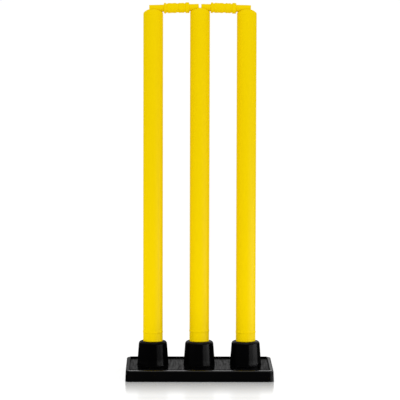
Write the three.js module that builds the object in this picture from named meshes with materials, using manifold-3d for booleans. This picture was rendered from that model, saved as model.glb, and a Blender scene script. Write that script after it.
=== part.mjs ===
// Cricket stumps on a rubber base. Three hollow plastic stumps are pushed into the sockets of
// one heavy rubber moulding, and two loose plastic bails lie in grooves across their crowns.
// Millimetres, +Z up. X runs along the row of stumps and Y from the front of the base to its
// back. The origin is the centre of the underside, on the ground.

import * as THREE from "three";
import { mergeVertices } from "three/addons/utils/BufferGeometryUtils.js";
import Module from "manifold-3d";

const wasm = await Module();
wasm.setup();

// Driving dimensions: the row of stumps
const stump_centre_distance = 90;
const stump_diameter = 38;
const stump_wall = 2.6;
const stump_top_height = 711;
const crown_height = 11;
const crown_wall = 3;
const foot_chamfer = 1;
const stop_bead_rise = 17.5;
const stop_bead_width = 4;
const stop_bead_depth = 0.5;
const bail_groove_depth = 7.8;
const middle_stump_rise = 2.2;

// Driving dimensions: the bails
const barrel_diameter = 19.6;
const barrel_clearance = 1.4;
const spigot_diameter = 13.8;
const long_spigot_overhang = 7.7;
const gap_between_bails = 4.5;
const ring_groove_depth = 1.1;
const band_waist_depth = 0.45;
const end_ring_rise = 0.6;
const barrel_end_round = 1.5;
const spigot_end_round = 1.2;
const groove_side_clearance = 0.5;

// Driving dimensions: the rubber base
const base_end_margin = 22;
const base_side_margin = 64.5;
const base_height = 22.5;
const base_top_inset = 0.9;
const base_corner_radius = 9;
const base_edge_round = 3;
const lip_width = 6;
const tray_recess = 2.5;
const tray_fillet = 1.8;
const socket_height = 67;
const socket_wall = 7.6;
const socket_flare = 3.5;
const socket_lip_round = 6;
const socket_foot_fillet = 3;
const bore_mouth_round = 1.2;
const bore_clearance = 0.4;
const socket_floor = 8;

// Clearances and overruns
const seat_gap = 0.3;
const cut_overrun = 5;
const merge_tolerance = 0.0001;

// Facets, as counts
const round_sides = 40;
const bail_sides = 24;
const arc_steps = 4;
const tip_steps = 3;

const stump_radius = stump_diameter / 2;
const stump_bore_radius = stump_radius - stump_wall;
const bore_radius = stump_radius + bore_clearance;
const socket_mouth_radius = bore_radius + socket_wall;
const socket_foot_radius = socket_mouth_radius + socket_flare;
const base_length = 2 * (stump_centre_distance + socket_foot_radius + base_end_margin);
const base_depth = 2 * (socket_foot_radius + base_side_margin);
const stop_bead_height = socket_height + stop_bead_rise;
const spigot_to_axis = stump_radius + barrel_clearance;
const barrel_length = stump_centre_distance - 2 * spigot_to_axis;
const spigot_radius = spigot_diameter / 2;
const groove_radius = spigot_radius + groove_side_clearance;
const groove_floor_height = stump_top_height - bail_groove_depth;
const groove_axis_height = groove_floor_height + groove_radius;

// Both bails slope up to the middle stump, which isn't pushed in as deep as the outer ones. A
// sloping spigot needs more room over the groove's floor than a level one.
const bail_slope = middle_stump_rise / stump_centre_distance;
const bail_seat_clearance = seat_gap + stump_radius * bail_slope;
const bail_end_height = groove_floor_height + bail_seat_clearance + spigot_radius;

// Points of an elliptical arc about (centre_r, centre_z), from one angle to another in degrees,
// as radius and height. Angle 0 points outwards and 90 points up.
function arc(centre_r, centre_z, radius_r, radius_z, from, to, steps = arc_steps) {
  const points = [];
  for (let i = 0; i <= steps; i++) {
    const angle = THREE.MathUtils.degToRad(from + ((to - from) * i) / steps);
    const r = centre_r + radius_r * Math.cos(angle);
    const z = centre_z + radius_z * Math.sin(angle);
    points.push(new THREE.Vector2(r, z));
  }
  return points;
}

// A solid of revolution about +Z from a profile of radius and height, run anticlockwise in the
// half plane to the right of the axis.
function turned(profile, sides = round_sides) {
  const points = profile.map((p) => new THREE.Vector2(p.x < merge_tolerance ? 0 : p.x, p.y));
  const geometry = new THREE.LatheGeometry(points, sides);
  return geometry.rotateX(Math.PI / 2);
}

// A closed geometry as a solid for joining and cutting.
function solid(geometry) {
  const bare = geometry.clone();
  bare.deleteAttribute("normal");
  bare.deleteAttribute("uv");
  const merged = mergeVertices(bare, merge_tolerance);
  const made = new wasm.Manifold(
    new wasm.Mesh({
      numProp: 3,
      vertProperties: merged.attributes.position.array,
      triVerts: new Uint32Array(merged.index.array),
    }),
  );
  return made;
}

// A solid back as a geometry for a mesh.
function geometryOf(made) {
  const { vertProperties, triVerts } = made.getMesh();
  const geometry = new THREE.BufferGeometry();
  geometry.setAttribute("position", new THREE.BufferAttribute(vertProperties, 3));
  geometry.setIndex(new THREE.BufferAttribute(triVerts, 1));
  geometry.computeVertexNormals();
  return geometry;
}

// A rectangle with round corners, centred on the origin.
function roundedRectangle(length, depth, radius) {
  const x = length / 2;
  const y = depth / 2;
  const shape = new THREE.Shape();
  shape.moveTo(-x + radius, -y);
  shape.lineTo(x - radius, -y);
  shape.absarc(x - radius, -y + radius, radius, -Math.PI / 2, 0);
  shape.lineTo(x, y - radius);
  shape.absarc(x - radius, y - radius, radius, 0, Math.PI / 2);
  shape.lineTo(-x + radius, y);
  shape.absarc(-x + radius, y - radius, radius, Math.PI / 2, Math.PI);
  shape.lineTo(-x, -y + radius);
  shape.absarc(-x + radius, -y + radius, radius, Math.PI, 1.5 * Math.PI);
  return shape;
}

// A block with round corners, whose edges are rounded by edge at bottom and top.
function roundedBlock(length, depth, corner, bottom, top, edge) {
  const shape = roundedRectangle(length - 2 * edge, depth - 2 * edge, corner - edge);
  const geometry = new THREE.ExtrudeGeometry(shape, {
    depth: top - bottom - 2 * edge,
    curveSegments: arc_steps,
    bevelEnabled: true,
    bevelThickness: edge,
    bevelSize: edge,
    bevelSegments: arc_steps,
  });
  return geometry.translate(0, 0, bottom + edge);
}

const yellow_plastic = () =>
  new THREE.MeshStandardMaterial({ color: 0xf3d307, roughness: 0.38, metalness: 0 });
const black_rubber = () =>
  new THREE.MeshStandardMaterial({ color: 0x0d0d0f, roughness: 0.5, metalness: 0 });

// The rubber base: a slab with a lip round a shallow tray, and three tapered sockets, all one
// moulding. The slab's walls lean in by the draft from the ground to the lip.
function rubberBase() {
  const slab = roundedBlock(
    base_length,
    base_depth,
    base_corner_radius,
    -base_height,
    base_height,
    base_edge_round,
  );
  const corner = slab.getAttribute("position");
  for (let i = 0; i < corner.count; i++) {
    const lean = (base_top_inset * corner.getZ(i)) / base_height;
    corner.setX(i, corner.getX(i) * (1 - lean / (base_length / 2)));
    corner.setY(i, corner.getY(i) * (1 - lean / (base_depth / 2)));
  }
  const ground = new THREE.BoxGeometry(
    base_length + 2 * cut_overrun,
    base_depth + 2 * cut_overrun,
    base_height + cut_overrun,
  ).translate(0, 0, -(base_height + cut_overrun) / 2);
  const tray = roundedBlock(
    base_length - 2 * lip_width,
    base_depth - 2 * lip_width,
    base_corner_radius,
    base_height - tray_recess,
    base_height + tray_fillet + cut_overrun,
    tray_fillet,
  );
  let body = solid(slab).subtract(solid(ground)).subtract(solid(tray));
  for (const place of [-1, 0, 1]) {
    body = body.add(solid(socketWall().translate(place * stump_centre_distance, 0, 0)));
  }
  for (const place of [-1, 0, 1]) {
    body = body.subtract(solid(socketBore().translate(place * stump_centre_distance, 0, 0)));
  }
  return geometryOf(body);
}

// The outside of one socket, from inside the slab up to its rounded lip.
function socketWall() {
  const tray_floor = base_height - tray_recess;
  const taper = socket_flare / (socket_height - tray_floor);
  const wall_foot_radius = socket_foot_radius - taper * socket_foot_fillet;
  const lip_round = Math.min(socket_lip_round, socket_wall - bore_mouth_round);
  const wall_top_radius = socket_mouth_radius + taper * lip_round;
  const root = tray_floor - tray_recess;
  const fillet = arc(
    wall_foot_radius + socket_foot_fillet,
    tray_floor + socket_foot_fillet,
    socket_foot_fillet,
    socket_foot_fillet,
    270,
    180,
  );
  const lip = arc(
    wall_top_radius - lip_round,
    socket_height - lip_round,
    lip_round,
    lip_round,
    0,
    90,
  );
  return turned([
    new THREE.Vector2(0, root),
    new THREE.Vector2(wall_foot_radius + socket_foot_fillet, root),
    ...fillet,
    ...lip,
    new THREE.Vector2(0, socket_height),
  ]);
}

// The hole that a stump is pushed into, with a rounded mouth and a flat floor.
function socketBore() {
  const mouth = arc(
    bore_radius + bore_mouth_round,
    socket_height - bore_mouth_round,
    bore_mouth_round,
    bore_mouth_round,
    180,
    90,
  );
  return turned([
    new THREE.Vector2(0, socket_floor),
    new THREE.Vector2(bore_radius, socket_floor),
    ...mouth,
    new THREE.Vector2(bore_radius + bore_mouth_round, socket_height + cut_overrun),
    new THREE.Vector2(0, socket_height + cut_overrun),
  ]);
}

// One stump: a hollow tube, open at the foot, with a domed crown, a groove across the crown for
// the bails and a shallow bead that shows how deep it is pushed in.
function stump() {
  const foot = socket_floor + seat_gap;
  const shoulder = stump_top_height - crown_height;
  const inner_top = groove_floor_height - crown_wall;
  const inner_crown = crown_height - crown_wall;
  const bead = arc(
    stump_radius,
    stop_bead_height,
    stop_bead_depth,
    stop_bead_width / 2,
    -90,
    90,
  );
  const body = turned([
    new THREE.Vector2(0, inner_top),
    ...arc(0, inner_top - inner_crown, stump_bore_radius, inner_crown, 90, 0).slice(1),
    new THREE.Vector2(stump_bore_radius, foot),
    new THREE.Vector2(stump_radius - foot_chamfer, foot),
    new THREE.Vector2(stump_radius, foot + foot_chamfer),
    ...bead,
    ...arc(0, shoulder, stump_radius, crown_height, 0, 90, 2 * arc_steps),
  ]);
  const groove = new THREE.CylinderGeometry(
    groove_radius,
    groove_radius,
    stump_diameter + 2 * cut_overrun,
    bail_sides,
  )
    .rotateZ(Math.PI / 2)
    .translate(0, 0, groove_axis_height);
  return geometryOf(solid(body).subtract(solid(groove)));
}

// One bail lying along X between the axes of two stumps, with its barrel in the middle. The
// rings run the same way on both bails, so only the spigots at the two ends change places.
function bail(reach_left, reach_right) {
  const barrel_radius = barrel_diameter / 2;
  const start = spigot_to_axis;
  const end = start + barrel_length;
  const left_tip = start - reach_left;
  const right_tip = end + reach_right;
  const high = barrel_radius + end_ring_rise;
  const low = barrel_radius - ring_groove_depth;
  const waist = barrel_radius - band_waist_depth;
  const collar = high - barrel_end_round;
  // Places along the barrel, as shares of its length, with the radius that the turned rings have
  const ring_shares = [
    [0.03, high],
    [0.075, high],
    [0.095, low],
    [0.145, low],
    [0.165, barrel_radius],
    [0.215, barrel_radius],
    [0.32, waist],
    [0.43, barrel_radius],
    [0.48, barrel_radius],
    [0.5, low],
    [0.575, low],
    [0.595, barrel_radius],
    [0.68, waist],
    [0.77, barrel_radius],
    [0.79, low],
    [0.835, low],
    [0.86, high],
    [0.97, high],
  ];
  const rings = ring_shares.map(
    ([share, radius]) => new THREE.Vector2(radius, start + share * barrel_length),
  );
  const inner = spigot_radius - spigot_end_round;
  const profile = [
    new THREE.Vector2(0, left_tip),
    ...arc(inner, left_tip + spigot_end_round, spigot_end_round, spigot_end_round, -90, 0, tip_steps),
    new THREE.Vector2(spigot_radius, start),
    new THREE.Vector2(collar, start),
    ...rings,
    new THREE.Vector2(collar, end),
    new THREE.Vector2(spigot_radius, end),
    ...arc(inner, right_tip - spigot_end_round, spigot_end_round, spigot_end_round, 0, 90, tip_steps),
    new THREE.Vector2(0, right_tip),
  ];
  return turned(profile, bail_sides).rotateY(Math.PI / 2);
}

// The whole set: base, stumps and bails
const stumps_set = new THREE.Group();

const base = new THREE.Mesh(rubberBase(), black_rubber());
base.name = "rubber_base";
stumps_set.add(base);

const places = { left: -1, middle: 0, right: 1 };
for (const [side, place] of Object.entries(places)) {
  const one = new THREE.Mesh(stump(), yellow_plastic());
  one.name = `stump_${side}`;
  one.position.set(place * stump_centre_distance, 0, place === 0 ? middle_stump_rise : 0);
  stumps_set.add(one);
}

const long_reach = spigot_to_axis + long_spigot_overhang;
const short_reach = spigot_to_axis - gap_between_bails / 2;

const bail_left = new THREE.Mesh(bail(long_reach, short_reach), yellow_plastic());
bail_left.name = "bail_left";
bail_left.position.set(-stump_centre_distance, 0, bail_end_height);
bail_left.rotation.y = -Math.atan(bail_slope);
stumps_set.add(bail_left);

const bail_right = new THREE.Mesh(bail(short_reach, long_reach), yellow_plastic());
bail_right.name = "bail_right";
bail_right.position.set(0, 0, bail_end_height + middle_stump_rise);
bail_right.rotation.y = Math.atan(bail_slope);
stumps_set.add(bail_right);

export default stumps_set;
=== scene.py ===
# Cricket stumps on a rubber base: three yellow plastic stumps stand in the sockets of one black
# rubber moulding, with two yellow bails lying loose across their crowns. Metres, +Z up.

import math

import bmesh
import bpy
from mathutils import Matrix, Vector


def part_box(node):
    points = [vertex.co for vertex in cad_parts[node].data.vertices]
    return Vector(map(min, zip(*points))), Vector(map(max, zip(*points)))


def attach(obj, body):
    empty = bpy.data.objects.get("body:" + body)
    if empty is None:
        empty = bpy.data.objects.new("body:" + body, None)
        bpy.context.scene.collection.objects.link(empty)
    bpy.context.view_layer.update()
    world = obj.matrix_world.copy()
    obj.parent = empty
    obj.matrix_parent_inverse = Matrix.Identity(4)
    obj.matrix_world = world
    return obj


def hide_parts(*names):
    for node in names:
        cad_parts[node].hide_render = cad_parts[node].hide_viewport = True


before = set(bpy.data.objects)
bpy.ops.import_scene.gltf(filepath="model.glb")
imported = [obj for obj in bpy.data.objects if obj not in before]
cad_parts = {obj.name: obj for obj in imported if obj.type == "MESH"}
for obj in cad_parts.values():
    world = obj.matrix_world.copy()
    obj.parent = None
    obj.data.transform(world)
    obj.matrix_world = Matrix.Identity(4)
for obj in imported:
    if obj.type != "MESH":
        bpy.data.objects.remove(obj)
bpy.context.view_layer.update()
scene = bpy.context.scene
scene.view_settings.view_transform = "Standard"


# The camera stands far in front of the set, a little above the crowns, and looks slightly down.
# It is turned a hair to the right and rolled a hair, as the photograph is.
camera_place = (-0.0564, -5.5943, 0.8587)
camera_pitch = math.radians(5.285)
camera_yaw = math.radians(0.5724)
camera_roll = math.radians(0.144)
camera_sensor_width_mm = 36
camera_focal_length_mm = 261.4
bpy.ops.object.camera_add(
    location=camera_place,
    rotation=(math.pi / 2 - camera_pitch, -camera_roll, -camera_yaw),
)
camera = bpy.context.object
camera.data.sensor_width = camera_sensor_width_mm
camera.data.lens = camera_focal_length_mm
scene.camera = camera


# Rubber base: one heavy black moulding, a shallow tray with three tapered sockets in a row and a
# stepped lip, whose low bead runs round the tray. It is pressed in one piece, so every edge is
# rounded and the sockets grow out of the tray with a fillet.
base_low, base_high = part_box("rubber_base")
base_length = base_high.x - base_low.x
base_depth = base_high.y - base_low.y
slab_height = 0.0229
base_corner_radius = 0.009
base_top_inset = 0.0009
base_edge_round = 0.0024
ground_edge_round = 0.0008
lip_width = 0.006
lip_fall = 0.0007
bead_rise = 0.0008
bead_lean = 0.0002
bead_width = 0.0015
bead_edge_round = 0.0004
tray_recess = 0.0030
tray_fillet = 0.0006
rim_height = slab_height - bead_rise - lip_fall
tray_floor = slab_height - tray_recess
socket_height = base_high.z
stump_centre_distance = 0.090
socket_wall = 0.0076
socket_flare = 0.0035
socket_lip_round = 0.006
socket_foot_fillet = 0.001
socket_floor = 0.008
bore_radius = 0.0194
bore_mouth_round = 0.0012
cut_overrun = 0.005
round_sides = 96
smooth_angle = math.radians(32)
same_height_tolerance = 0.00005
double_point_distance = 0.000001
start_plane_width = 0.001
level_share = 0.9
sharp_turn_share = 0.5


def pick(piece, kind, wanted):
    """Selects, in edit mode, the edges or faces of a piece that are wanted."""
    bpy.ops.mesh.select_mode(type=kind)
    bpy.ops.mesh.select_all(action="DESELECT")
    form = bmesh.from_edit_mesh(piece.data)
    items = {"EDGE": form.edges, "FACE": form.faces}[kind]
    for item in items:
        if wanted(item):
            item.select_set(True)
    form.select_flush_mode()
    bmesh.update_edit_mesh(piece.data)


def stands_upright(edge):
    """True for the upright edges at the corners of a slab."""
    return abs(edge.verts[0].co.z - edge.verts[1].co.z) > slab_height / 2


def lies_at(edge, height):
    """True for a level edge at a height."""
    return all(abs(point.co.z - height) < same_height_tolerance for point in edge.verts)


def turns_sharply(edge):
    """True for the edges round an outline, and not for those that cross the lip."""
    if len(edge.link_faces) != 2:
        return False
    return edge.link_faces[0].normal.dot(edge.link_faces[1].normal) < sharp_turn_share


def round_outline(piece, height, width, steps):
    """Rounds the edges of a piece, in edit mode, that run round an outline at a height."""
    pick(piece, "EDGE", lambda edge: lies_at(edge, height) and turns_sharply(edge))
    bpy.ops.mesh.bevel(offset=width, offset_type="OFFSET", segments=steps, affect="EDGES")


def take(piece):
    """Makes a piece the only one selected, and the active one."""
    bpy.ops.object.select_all(action="DESELECT")
    piece.select_set(True)
    bpy.context.view_layer.objects.active = piece


def settle():
    """Puts the place, turn and size of the selected piece into its mesh."""
    bpy.ops.object.transform_apply(location=True, rotation=True, scale=True)


def round_arc(centre, radii, start, end, steps):
    """Points of an arc of a turned profile, as distance from the axis and height, in degrees."""
    points = []
    for step in range(steps + 1):
        angle = math.radians(start + (end - start) * step / steps)
        across = centre[0] + radii[0] * math.cos(angle)
        up = centre[1] + radii[1] * math.sin(angle)
        points.append((across, up))
    return points


def turned(name, profile, sides):
    """Turns a piece on the Z axis from a profile of distances from the axis and heights."""
    bpy.ops.object.select_all(action="DESELECT")
    bpy.ops.mesh.primitive_plane_add(size=start_plane_width, location=(0, 0, 0))
    piece = bpy.context.object
    piece.name = name
    bpy.ops.object.mode_set(mode="EDIT")
    bpy.ops.mesh.select_mode(type="VERT")
    bpy.ops.mesh.merge(type="CENTER")
    here = (0.0, 0.0)
    for number, (radius, height) in enumerate(profile):
        step = (radius - here[0], 0, height - here[1])
        if number == 0:
            bpy.ops.transform.translate(value=step)
        else:
            bpy.ops.mesh.extrude_region_move(TRANSFORM_OT_translate={"value": step})
        here = (radius, height)
    bpy.ops.mesh.select_all(action="SELECT")
    bpy.ops.mesh.spin(steps=sides, angle=2 * math.pi, center=(0, 0, 0), axis=(0, 0, 1))
    bpy.ops.mesh.select_all(action="SELECT")
    bpy.ops.mesh.remove_doubles(threshold=double_point_distance)
    bpy.ops.mesh.normals_make_consistent(inside=False)
    bpy.ops.object.mode_set(mode="OBJECT")
    return piece


def copied(piece, name, place):
    """A copy of a piece with a mesh of its own, moved to a place, with the place in its mesh."""
    take(piece)
    bpy.ops.object.duplicate()
    copy = bpy.context.object
    copy.name = name
    copy.data.name = name
    copy.location = place
    settle()
    return copy


def joined(pieces, name):
    """Several pieces as one object."""
    take(pieces[0])
    for piece in pieces:
        piece.select_set(True)
    bpy.ops.object.join()
    whole = bpy.context.object
    whole.name = name
    return whole


def combine(piece, operation, tool):
    """Joins a tool to a piece, or cuts the piece with it, and removes the tool."""
    take(piece)
    cut = piece.modifiers.new("combine", "BOOLEAN")
    cut.operation = operation
    cut.solver = "EXACT"
    cut.object = tool
    bpy.ops.object.modifier_apply(modifier=cut.name)
    bpy.data.objects.remove(tool)


def soften_edges(piece, width, steps, angle):
    """Rounds the edges of a piece that turn by more than an angle."""
    take(piece)
    soften = piece.modifiers.new("soften", "BEVEL")
    soften.width = width
    soften.segments = steps
    soften.limit_method = "ANGLE"
    soften.angle_limit = angle
    bpy.ops.object.modifier_apply(modifier=soften.name)


def shade_evenly(piece):
    """Shades a piece as one smooth surface between its sharp edges."""
    take(piece)
    bpy.ops.object.shade_smooth_by_angle(angle=smooth_angle)
    even = piece.modifiers.new("even", "WEIGHTED_NORMAL")
    even.keep_sharp = True
    bpy.ops.object.modifier_apply(modifier=even.name)


bpy.ops.object.select_all(action="DESELECT")
bpy.ops.mesh.primitive_cube_add(
    size=1,
    location=(0, 0, rim_height / 2),
    scale=(base_length, base_depth, rim_height),
)
base = bpy.context.object
base.name = "base_moulding"
settle()
bpy.ops.object.mode_set(mode="EDIT")
pick(base, "EDGE", stands_upright)
bpy.ops.mesh.bevel(offset=base_corner_radius, offset_type="OFFSET", segments=10, affect="EDGES")
pick(base, "FACE", lambda face: face.normal.z > level_share)
top_shares = (1 - 2 * base_top_inset / base_length, 1 - 2 * base_top_inset / base_depth, 1)
bpy.ops.transform.resize(value=top_shares)
bpy.ops.mesh.inset(thickness=lip_width, depth=lip_fall)
bpy.ops.mesh.inset(thickness=bead_lean, depth=bead_rise)
bpy.ops.mesh.inset(thickness=bead_width, depth=0)
bpy.ops.mesh.extrude_region_move(TRANSFORM_OT_translate={"value": (0, 0, -tray_recess)})
round_outline(base, tray_floor, tray_fillet, steps=4)
round_outline(base, slab_height, bead_edge_round, steps=4)
round_outline(base, rim_height, base_edge_round, steps=6)
round_outline(base, 0, ground_edge_round, steps=3)
bpy.ops.object.mode_set(mode="OBJECT")

socket_mouth_radius = bore_radius + socket_wall
socket_taper = socket_flare / (socket_height - tray_floor)
wall_foot_radius = socket_mouth_radius + socket_flare - socket_taper * socket_foot_fillet
wall_top_radius = socket_mouth_radius + socket_taper * socket_lip_round
foot_radius = wall_foot_radius + socket_foot_fillet
socket_root = tray_floor - tray_recess
mouth_radius = bore_radius + bore_mouth_round
foot_arc = round_arc(
    (foot_radius, tray_floor + socket_foot_fillet),
    (socket_foot_fillet, socket_foot_fillet),
    start=270,
    end=180,
    steps=8,
)
lip_arc = round_arc(
    (wall_top_radius - socket_lip_round, socket_height - socket_lip_round),
    (socket_lip_round, socket_lip_round),
    start=0,
    end=90,
    steps=12,
)
mouth_arc = round_arc(
    (mouth_radius, socket_height - bore_mouth_round),
    (bore_mouth_round, bore_mouth_round),
    start=180,
    end=90,
    steps=6,
)
socket = turned(
    "socket",
    [(0, socket_root), (foot_radius, socket_root), *foot_arc, *lip_arc, (0, socket_height)],
    round_sides,
)
bore = turned(
    "bore",
    [
        (0, socket_floor),
        (bore_radius, socket_floor),
        *mouth_arc,
        (mouth_radius, socket_height + cut_overrun),
        (0, socket_height + cut_overrun),
    ],
    round_sides,
)
stump_axes = [(-stump_centre_distance, 0, 0), (0, 0, 0), (stump_centre_distance, 0, 0)]
sockets = joined([copied(socket, "socket_one", axis) for axis in stump_axes], "sockets")
bores = joined([copied(bore, "bore_one", axis) for axis in stump_axes], "bores")
bpy.data.objects.remove(socket)
bpy.data.objects.remove(bore)
combine(base, "UNION", sockets)
combine(base, "DIFFERENCE", bores)
shade_evenly(base)


def feed(tree, socket, value):
    """Links an output to an input, or sets the input to a plain value."""
    if isinstance(value, bpy.types.NodeSocket):
        tree.links.new(value, socket)
    else:
        socket.default_value = value


def node(tree, kind, *inputs, **values):
    """A node with its settings, and its inputs fed by name, or else in their own order."""
    made = tree.nodes.new(kind)
    for key, value in values.items():
        if hasattr(made, key):
            setattr(made, key, value)
        else:
            feed(tree, made.inputs[key.replace("_", " ")], value)
    for socket, value in zip(made.inputs, inputs):
        feed(tree, socket, value)
    return made


def ramp(tree, source, source_range, result_range=(0, 1)):
    """A value that runs through the second range while its source runs through the first."""
    made = node(
        tree,
        "ShaderNodeMapRange",
        Value=source,
        From_Min=source_range[0],
        From_Max=source_range[1],
        To_Min=result_range[0],
        To_Max=result_range[1],
    )
    return made.outputs["Result"]


def maths(tree, operation, *numbers):
    """The result of a sum on values that change over the surface."""
    return node(tree, "ShaderNodeMath", *numbers, operation=operation).outputs["Value"]


def vector_maths(tree, operation, *vectors):
    """The result of a step on vectors that change over the surface."""
    made = node(tree, "ShaderNodeVectorMath", *vectors, operation=operation)
    gives_number = operation in ("DOT_PRODUCT", "LENGTH")
    return made.outputs["Value" if gives_number else "Vector"]


def product(tree, first, *others):
    """The product of several values that change over the surface."""
    result = first
    for other in others:
        result = maths(tree, "MULTIPLY", result, other)
    return result


def between(tree, kind, share, start, end):
    """A number (FLOAT) or colour (RGBA) part of the way from one to another."""
    made = node(tree, "ShaderNodeMix", data_type=kind, Factor=share, A=start, B=end)
    return made.outputs["Result"]


def noise(tree, spot, scale, detail, roughness):
    """Cloudy noise over the surface."""
    made = node(
        tree,
        "ShaderNodeTexNoise",
        Vector=spot,
        Scale=scale,
        Detail=detail,
        Roughness=roughness,
    )
    return made.outputs["Fac"]


def stretched(tree, spot, scales):
    """Places on the piece, scaled apart along its axes, for a pattern drawn out along one."""
    made = node(tree, "ShaderNodeMapping", vector_type="POINT", Vector=spot, Scale=scales)
    return made.outputs["Vector"]


def split(tree, vector):
    """The X, Y and Z of a vector."""
    return node(tree, "ShaderNodeSeparateXYZ", Vector=vector).outputs


def new_group(name, inputs, output):
    """A new group of plain numbers, with its input and output nodes."""
    made = bpy.data.node_groups.new(name, "ShaderNodeTree")
    for wanted in inputs:
        made.interface.new_socket(wanted, in_out="INPUT", socket_type="NodeSocketFloat")
    made.interface.new_socket(output, in_out="OUTPUT", socket_type="NodeSocketFloat")
    return made, made.nodes.new("NodeGroupInput"), made.nodes.new("NodeGroupOutput")


fine_share = 0.4
grain, given, result = new_group("Moulded grain", ["Coarse Scale", "Fine Scale"], "Height")
spot = node(grain, "ShaderNodeTexCoord").outputs["Object"]
coarse = noise(grain, spot, given.outputs["Coarse Scale"], detail=3.0, roughness=0.55)
fine = noise(grain, spot, given.outputs["Fine Scale"], detail=2.0, roughness=0.5)
feed(grain, result.inputs["Height"], between(grain, "FLOAT", fine_share, coarse, fine))

corner_agreements = (0.80, 0.985)
patch_edges = (0.42, 0.62)
least_wear = 0.15
wear, given, result = new_group("Worn edges", ["Reach", "Patch Scale"], "Mask")
spot = node(wear, "ShaderNodeTexCoord").outputs["Object"]
blurred = node(wear, "ShaderNodeBevel", samples=6, Radius=given.outputs["Reach"])
sharp = node(wear, "ShaderNodeNewGeometry")
both_normals = (blurred.outputs["Normal"], sharp.outputs["Normal"])
agreement = vector_maths(wear, "DOT_PRODUCT", *both_normals)
corner = ramp(wear, agreement, corner_agreements, (1.0, 0.0))
patches = noise(wear, spot, given.outputs["Patch Scale"], detail=4.0, roughness=0.65)
patchy = ramp(wear, patches, patch_edges, (least_wear, 1.0))
feed(wear, result.inputs["Mask"], product(wear, corner, patchy))


def new_material(name):
    """A new material with its node tree and its Principled shader."""
    made = bpy.data.materials.new(name)
    made.use_nodes = True
    return made, made.node_tree, made.node_tree.nodes["Principled BSDF"]


def worn_mask(tree, reach, patch_scale):
    """A mask of the edges that are rubbed, in patches."""
    made = node(tree, "ShaderNodeGroup", node_tree=wear, Reach=reach, Patch_Scale=patch_scale)
    return made.outputs["Mask"]


def grained_normal(tree, coarse_scale, fine_scale, strength, depth):
    """The direction of the surface with the moulded grain in it."""
    grained = node(
        tree,
        "ShaderNodeGroup",
        node_tree=grain,
        Coarse_Scale=coarse_scale,
        Fine_Scale=fine_scale,
    )
    bump = node(
        tree,
        "ShaderNodeBump",
        Strength=strength,
        Distance=depth,
        Height=grained.outputs["Height"],
    )
    return bump.outputs["Normal"]


rubber_deep = (0.0005, 0.0005, 0.0006, 1)
rubber_pale = (0.0013, 0.0013, 0.0015, 1)
rubber_rubbed = (0.0042, 0.0042, 0.0044, 1)
rubber_streaks_per_metre = (420, 26, 26)
noise_middle = (0.3, 0.7)
rubber, tree, shader = new_material("black_rubber")
shader.inputs["Specular IOR Level"].default_value = 0.0
shader.inputs["Coat IOR"].default_value = 1.5
shader.inputs["Coat Roughness"].default_value = 0.16
surface = node(tree, "ShaderNodeTexCoord")
spot = surface.outputs["Object"]
cloud = noise(tree, spot, scale=38.0, detail=5.0, roughness=0.6)
shade = between(tree, "RGBA", cloud, rubber_deep, rubber_pale)
worn = worn_mask(tree, reach=0.0025, patch_scale=160)
feed(tree, shader.inputs["Base Color"], between(tree, "RGBA", worn, shade, rubber_rubbed))
streak_place = stretched(tree, spot, rubber_streaks_per_metre)
streaks = noise(tree, streak_place, scale=1.0, detail=3.0, roughness=0.6)
feed(tree, shader.inputs["Roughness"], ramp(tree, streaks, noise_middle, (0.30, 0.44)))

# The coat is the sheen of the skin. It is strong on level rims, weaker round the sockets and in
# the tray, and faint on upright walls. Part of it is painted light: the rim gains take the coat
# above a full coat, which adds painted highlight, and the duller left lip, left socket and tray
# ends are painted shade, for light that falls from the right and dims near the end walls.
wall_coat = 0.022
rim_coat = 0.5
# Above a full coat on the rims: painted highlight on top of the real sheen.
level_rim_gain = 2.3
long_rim_gain = 1.6
# Painted shade: the left lip is duller, for light that falls from the right.
left_rim_painted_shade = 0.42
socket_gain = 0.52
# Painted shade: the left socket's sheen is dimmed, as it stands farthest from the light on the
# right.
left_socket_painted_shade = 0.27
grazing_gain = 0.3
tray_coats = (0.047, 0.217)
# Painted shade: the tray is duller at its ends, near the end walls.
tray_end_painted_shade = 0.78
mask_before = 0.0004
mask_after = 0.0002
mask_above_tray = 0.0035
mitre_blend = 0.002
shoulder_blend = 0.01
left_rim_blend = 0.001
left_socket_edge = (-0.050, -0.040)
turned_up_slopes = (0.25, 0.7)
level_rim_slopes = (0.94, 0.99)
long_rim_slopes = (0.9, 0.985)
level_tray_slopes = (0.97, 0.995)
grazing_slants = (0.76, 0.85)
tray_end_reach = 0.040
tray_end_margin = 0.012
tray_edge_inset = base_top_inset + lip_width
tray_limits = {
    "X": base_length / 2 - tray_edge_inset,
    "Y": base_depth / 2 - tray_edge_inset,
    "Z": tray_floor + mask_above_tray,
}
above_rim = (slab_height, slab_height + shoulder_blend)
left_rim_edge = (-tray_limits["X"], left_rim_blend - tray_limits["X"])
tray_end_edge = (base_length / 2 - tray_end_reach, base_length / 2 - tray_end_margin)
mitre_line = (base_depth - base_length) / 2
mitre_edge = (mitre_line - mitre_blend, mitre_line + mitre_blend)
signed = split(tree, spot)
out_from_centre = split(tree, vector_maths(tree, "ABSOLUTE", spot))
upward = split(tree, surface.outputs["Normal"])["Z"]
within = [
    ramp(tree, out_from_centre[axis], (limit - mask_before, limit + mask_after), (1.0, 0.0))
    for axis, limit in tray_limits.items()
]
in_tray = product(tree, *within)
turned_up = ramp(tree, upward, turned_up_slopes, (wall_coat, rim_coat))
level_rim = ramp(tree, upward, level_rim_slopes, (1.0, level_rim_gain))
beside_mitre = maths(tree, "SUBTRACT", out_from_centre["Y"], out_from_centre["X"])
on_long_side = ramp(tree, beside_mitre, mitre_edge)
long_rim = ramp(tree, upward, long_rim_slopes, (1.0, long_rim_gain))
rim_gain = between(tree, "FLOAT", on_long_side, 1.0, long_rim)
sockets_gain = ramp(tree, signed["X"], left_socket_edge, (left_socket_painted_shade, socket_gain))
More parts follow.
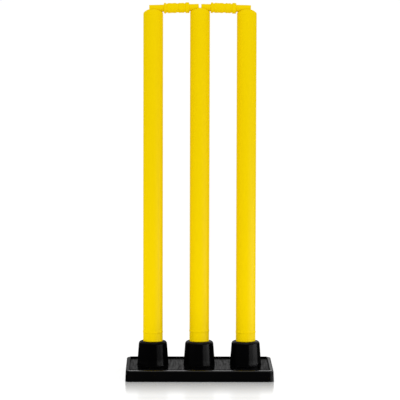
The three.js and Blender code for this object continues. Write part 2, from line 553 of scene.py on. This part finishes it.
place_gain = ramp(tree, out_from_centre["Z"], above_rim, (rim_gain, sockets_gain))
slant = node(tree, "ShaderNodeLayerWeight").outputs["Facing"]
grazing = ramp(tree, slant, grazing_slants, (1.0, grazing_gain))
# Painted shade on the left lip.
left_rim = ramp(tree, signed["X"], left_rim_edge, (left_rim_painted_shade, 1.0))
outer_coat = product(tree, turned_up, level_rim, place_gain, grazing, left_rim)
tray_streaks = ramp(tree, streaks, noise_middle, tray_coats)
# Painted shade at the ends of the tray.
tray_end = ramp(tree, out_from_centre["X"], tray_end_edge, (1.0, tray_end_painted_shade))
tray_coat = product(tree, tray_streaks, tray_end)
level_tray = ramp(tree, upward, level_tray_slopes, (wall_coat, tray_coat))
coat = between(tree, "FLOAT", in_tray, outer_coat, level_tray)
feed(tree, shader.inputs["Coat Weight"], coat)
normal = grained_normal(tree, coarse_scale=520, fine_scale=1500, strength=0.3, depth=0.0002)
feed(tree, shader.inputs["Normal"], normal)
feed(tree, shader.inputs["Coat Normal"], normal)

base.data.materials.clear()
base.data.materials.append(rubber)
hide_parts("rubber_base")
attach(base, "base")


# Stumps: hollow moulded plastic tubes with a domed crown, a groove across the crown for the
# bails, a shallow bead low down and an open foot. One is modelled at the middle and copied.
stump_radius = 0.019
stump_wall = 0.0026
stump_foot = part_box("stump_left")[0].z
stump_top_height = 0.711
crown_height = 0.011
crown_wall = 0.003
crown_shoulder = stump_top_height - crown_height
foot_chamfer = 0.001
stop_bead_above_socket = 0.0175
stop_bead_height = socket_height + stop_bead_above_socket
stop_bead_width = 0.004
stop_bead_depth = 0.0005
spigot_radius = 0.0069
groove_clearance = 0.0005
groove_depth = 0.0078
groove_radius = spigot_radius + groove_clearance
groove_floor = stump_top_height - groove_depth
groove_edge_round = 0.0007
groove_edge_angle = math.radians(38)
groove_sides = 64
middle_stump_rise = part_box("stump_middle")[0].z - stump_foot
stump_bore_radius = stump_radius - stump_wall
inner_top = groove_floor - crown_wall
inner_crown = crown_height - crown_wall
inner_arc = round_arc(
    (0, inner_top - inner_crown),
    (stump_bore_radius, inner_crown),
    start=90,
    end=0,
    steps=12,
)
stop_bead_arc = round_arc(
    (stump_radius, stop_bead_height),
    (stop_bead_depth, stop_bead_width / 2),
    start=-90,
    end=90,
    steps=8,
)
crown_arc = round_arc(
    (0, crown_shoulder),
    (stump_radius, crown_height),
    start=0,
    end=90,
    steps=20,
)

stump = turned(
    "stump",
    [
        (0, inner_top),
        *inner_arc[1:],
        (stump_bore_radius, stump_foot),
        (stump_radius - foot_chamfer, stump_foot),
        (stump_radius, stump_foot + foot_chamfer),
        *stop_bead_arc,
        (stump_radius, stump_top_height / 3),
        (stump_radius, stump_top_height * 2 / 3),
        *crown_arc,
    ],
    round_sides,
)
bpy.ops.object.select_all(action="DESELECT")
bpy.ops.mesh.primitive_cylinder_add(
    vertices=groove_sides,
    radius=groove_radius,
    depth=2 * (stump_radius + cut_overrun),
    location=(0, 0, groove_floor + groove_radius),
    rotation=(0, math.pi / 2, 0),
)
groove_tool = bpy.context.object
settle()
combine(stump, "DIFFERENCE", groove_tool)
soften_edges(stump, groove_edge_round, steps=3, angle=groove_edge_angle)
shade_evenly(stump)

yellow_deep = (0.872, 0.622, 0.0004, 1)
yellow_pale = (0.905, 0.655, 0.0008, 1)
yellow_rubbed = (0.93, 0.70, 0.012, 1)
flow_marks_per_metre = (130, 130, 5)
cloud_share = 0.5
scuff_roughness = 0.12
plastic, tree, shader = new_material("yellow_plastic")
shader.inputs["Specular IOR Level"].default_value = 0.008
spot = node(tree, "ShaderNodeTexCoord").outputs["Object"]
flow_place = stretched(tree, spot, flow_marks_per_metre)
flow = noise(tree, flow_place, scale=1.0, detail=4.0, roughness=0.55)
cloud = noise(tree, spot, scale=14.0, detail=4.0, roughness=0.5)
mottled = between(tree, "FLOAT", cloud_share, flow, cloud)
shade = between(tree, "RGBA", mottled, yellow_deep, yellow_pale)
worn = worn_mask(tree, reach=0.0012, patch_scale=220)
feed(tree, shader.inputs["Base Color"], between(tree, "RGBA", worn, shade, yellow_rubbed))
gloss = ramp(tree, flow, noise_middle, (0.36, 0.48))
scuffed = maths(tree, "MULTIPLY_ADD", worn, scuff_roughness, gloss)
feed(tree, shader.inputs["Roughness"], scuffed)
normal = grained_normal(tree, coarse_scale=240, fine_scale=1200, strength=0.12, depth=0.0001)
feed(tree, shader.inputs["Normal"], normal)
stump.data.materials.clear()
stump.data.materials.append(plastic)

for side, axis in zip(("left", "middle", "right"), stump_axes):
    rise = middle_stump_rise if side == "middle" else 0
    tube = copied(stump, f"stump_tube_{side}", (axis[0], 0, rise))
    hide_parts(f"stump_{side}")
    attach(tube, f"{side}_stump")
bpy.data.objects.remove(stump)


# Bails: two loose moulded pieces with turned rings on a barrel and a spigot at each end, the
# long one over an outer stump and the short one over the middle stump. They slope up to the
# middle stump a little.
barrel_clearance = 0.0014
barrel_radius = 0.0098
end_ring_rise = 0.0006
ring_groove_depth = 0.0011
band_waist_depth = 0.00045
barrel_end_round = 0.0015
spigot_end_round = 0.0012
long_spigot_overhang = 0.0077
gap_between_bails = 0.0045
ring_edge_round = 0.00035
ring_edge_angle = math.radians(20)
bail_sides = 72
seat_gap = 0.0003
spigot_to_axis = stump_radius + barrel_clearance
barrel_length = stump_centre_distance - 2 * spigot_to_axis
bail_slope = middle_stump_rise / stump_centre_distance
bail_end_height = groove_floor + seat_gap + stump_radius * bail_slope + spigot_radius
high = barrel_radius + end_ring_rise
low = barrel_radius - ring_groove_depth
waist = barrel_radius - band_waist_depth
ring_shares = [
    (0.0, high - barrel_end_round),
    (0.03, high),
    (0.075, high),
    (0.095, low),
    (0.145, low),
    (0.165, barrel_radius),
    (0.215, barrel_radius),
    (0.32, waist),
    (0.43, barrel_radius),
    (0.48, barrel_radius),
    (0.5, low),
    (0.575, low),
    (0.595, barrel_radius),
    (0.68, waist),
    (0.77, barrel_radius),
    (0.79, low),
    (0.835, low),
    (0.86, high),
    (0.97, high),
    (1.0, high - barrel_end_round),
]


def bail(name, reach_left, reach_right, place, slope):
    """One bail, turned on its axis, laid along X from an axis of a stump and sloped."""
    left_tip = spigot_to_axis - reach_left
    right_end = spigot_to_axis + barrel_length
    right_tip = right_end + reach_right
    tip_round = (spigot_end_round, spigot_end_round)
    tip_radius = spigot_radius - spigot_end_round
    left_centre = (tip_radius, left_tip + spigot_end_round)
    right_centre = (tip_radius, right_tip - spigot_end_round)
    profile = [(0, left_tip)]
    profile += round_arc(left_centre, tip_round, start=-90, end=0, steps=5)
    profile += [(spigot_radius, spigot_to_axis)]
    profile += [(radius, spigot_to_axis + share * barrel_length) for share, radius in ring_shares]
    profile += [(spigot_radius, right_end)]
    profile += round_arc(right_centre, tip_round, start=0, end=90, steps=5)
    profile += [(0, right_tip)]
    piece = turned(name, profile, bail_sides)
    soften_edges(piece, ring_edge_round, steps=2, angle=ring_edge_angle)
    shade_evenly(piece)
    piece.rotation_euler = (0, math.pi / 2 - math.atan(slope), 0)
    piece.location = place
    settle()
    piece.data.materials.append(plastic)
    return piece


long_reach = spigot_to_axis + long_spigot_overhang
short_reach = spigot_to_axis - gap_between_bails / 2
bail_left = bail(
    "turned_bail_left",
    long_reach,
    short_reach,
    (-stump_centre_distance, 0, bail_end_height),
    bail_slope,
)
bail_right = bail(
    "turned_bail_right",
    short_reach,
    long_reach,
    (0, 0, bail_end_height + middle_stump_rise),
    -bail_slope,
)
for side, piece in (("left", bail_left), ("right", bail_right)):
    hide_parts(f"bail_{side}")
    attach(piece, f"{side}_bail")


# Floor: a wide glossy white sheet. To the camera it glows nearly white and still keeps the
# shadow and the low reflection of the base. To all else it is plain matt white.
floor_width = 90
floor_drop = 0.00005
floor_white = (0.97, 0.97, 0.97, 1)
floor_shadow_white = (0.42, 0.42, 0.42, 1)
floor_glow = 0.68
floor_mirror_roughness = 0.18
floor_shine = 0.87
floor_shine_slants = (0.35, 1.0)
reflection_reach = 0.28
reflection_fall_power = 1.2
floor_sag_slope = 0.015
pure_white = (1, 1, 1, 1)
bpy.ops.object.select_all(action="DESELECT")
bpy.ops.mesh.primitive_plane_add(size=floor_width, location=(0, 0, -floor_drop))
floor = bpy.context.object
floor.name = "floor"
white_sheet = bpy.data.materials.new("white_sheet")
white_sheet.use_nodes = True
tree = white_sheet.node_tree
tree.nodes.clear()
matt = node(tree, "ShaderNodeBsdfDiffuse", Color=floor_white)
shadowed = node(tree, "ShaderNodeBsdfDiffuse", Color=floor_shadow_white)
glow = node(tree, "ShaderNodeEmission", Color=pure_white, Strength=floor_glow)
lit = node(tree, "ShaderNodeAddShader", shadowed.outputs["BSDF"], glow.outputs["Emission"])
sag = node(tree, "ShaderNodeCombineXYZ", Y=floor_sag_slope, Z=1.0)
mirror = node(
    tree,
    "ShaderNodeBsdfAnisotropic",
    Color=pure_white,
    Roughness=floor_mirror_roughness,
    Normal=sag.outputs["Vector"],
)
slant = node(tree, "ShaderNodeLayerWeight").outputs["Facing"]
shine = ramp(tree, slant, floor_shine_slants, (0.0, floor_shine))
spot = node(tree, "ShaderNodeTexCoord").outputs["Object"]
unsigned = vector_maths(tree, "ABSOLUTE", spot)
beyond = vector_maths(tree, "SUBTRACT", unsigned, (base_length / 2, base_depth / 2, 0))
outside = vector_maths(tree, "MAXIMUM", beyond, (0, 0, 0))
from_base = vector_maths(tree, "LENGTH", outside)
near = ramp(tree, from_base, (0.0, reflection_reach), (1.0, 0.0))
falling = maths(tree, "POWER", near, reflection_fall_power)
gloss_share = product(tree, shine, falling)
seen = node(
    tree,
    "ShaderNodeMixShader",
    gloss_share,
    lit.outputs["Shader"],
    mirror.outputs["BSDF"],
)
path = node(tree, "ShaderNodeLightPath").outputs
viewed = maths(tree, "MAXIMUM", path["Is Camera Ray"], path["Is Glossy Ray"])
chosen = node(
    tree,
    "ShaderNodeMixShader",
    viewed,
    matt.outputs["BSDF"],
    seen.outputs["Shader"],
)
node(tree, "ShaderNodeOutputMaterial", Surface=chosen.outputs["Shader"])
floor.data.materials.append(white_sheet)


# Light: an even white surround, a soft panel above in front, a weak low panel on either side and
# a low strip in front that lights the feet of the stumps and is itself neither seen nor
# reflected. Two bright strips on the right show only as highlights on the black rubber.
surround_fill = 0.79
world = bpy.data.worlds.new("studio")
scene.world = world
world.use_nodes = True
tree = world.node_tree
tree.nodes.clear()
white = node(tree, "ShaderNodeBackground", Color=pure_white, Strength=1.0)
fill = node(tree, "ShaderNodeBackground", Color=pure_white, Strength=surround_fill)
path = node(tree, "ShaderNodeLightPath").outputs
viewed = maths(tree, "MAXIMUM", path["Is Camera Ray"], path["Is Glossy Ray"])
viewed_or_through = maths(tree, "MAXIMUM", viewed, path["Is Transmission Ray"])
chosen = node(
    tree,
    "ShaderNodeMixShader",
    viewed_or_through,
    fill.outputs["Background"],
    white.outputs["Background"],
)
node(tree, "ShaderNodeOutputWorld", Surface=chosen.outputs["Shader"])


def panel(name, place, target, size, radiance):
    """A rectangular lamp that faces a point, as bright as a sheet of a radiance."""
    bpy.ops.object.light_add(type="AREA", location=place)
    lamp = bpy.context.object
    lamp.name = name
    lamp.rotation_euler = (Vector(target) - Vector(place)).to_track_quat("-Z", "Y").to_euler()
    lamp.data.shape = "RECTANGLE"
    lamp.data.size, lamp.data.size_y = size
    lamp.data.energy = radiance * math.pi * size[0] * size[1]
    return lamp


panel(
    "top_panel",
    place=(0.15, -0.90, 1.60),
    target=(0, 0, 0.20),
    size=(1.0, 1.0),
    radiance=1.36,
)
panel(
    "left_panel",
    place=(-0.72, -0.35, 0.14),
    target=(0, -0.35, 0.14),
    size=(1.1, 0.26),
    radiance=0.85,
)
panel(
    "right_panel",
    place=(0.74, -0.35, 0.14),
    target=(0, -0.35, 0.14),
    size=(1.1, 0.26),
    radiance=0.85,
)
foot_panel = panel(
    "foot_panel",
    place=(0, -0.28, 0.055),
    target=(0, 0, 0.055),
    size=(0.60, 0.04),
    radiance=2.1,
)
foot_panel.visible_camera = False
foot_panel.visible_glossy = False
near_strip = panel(
    "near_strip",
    place=(0.72, -0.15, 0.12),
    target=(0, -0.15, 0.12),
    size=(0.50, 0.24),
    radiance=58,
)
near_strip.visible_diffuse = False
far_strip = panel(
    "far_strip",
    place=(0.72, -0.85, 0.12),
    target=(0, -0.85, 0.12),
    size=(0.90, 0.24),
    radiance=32,
)
far_strip.visible_diffuse = False
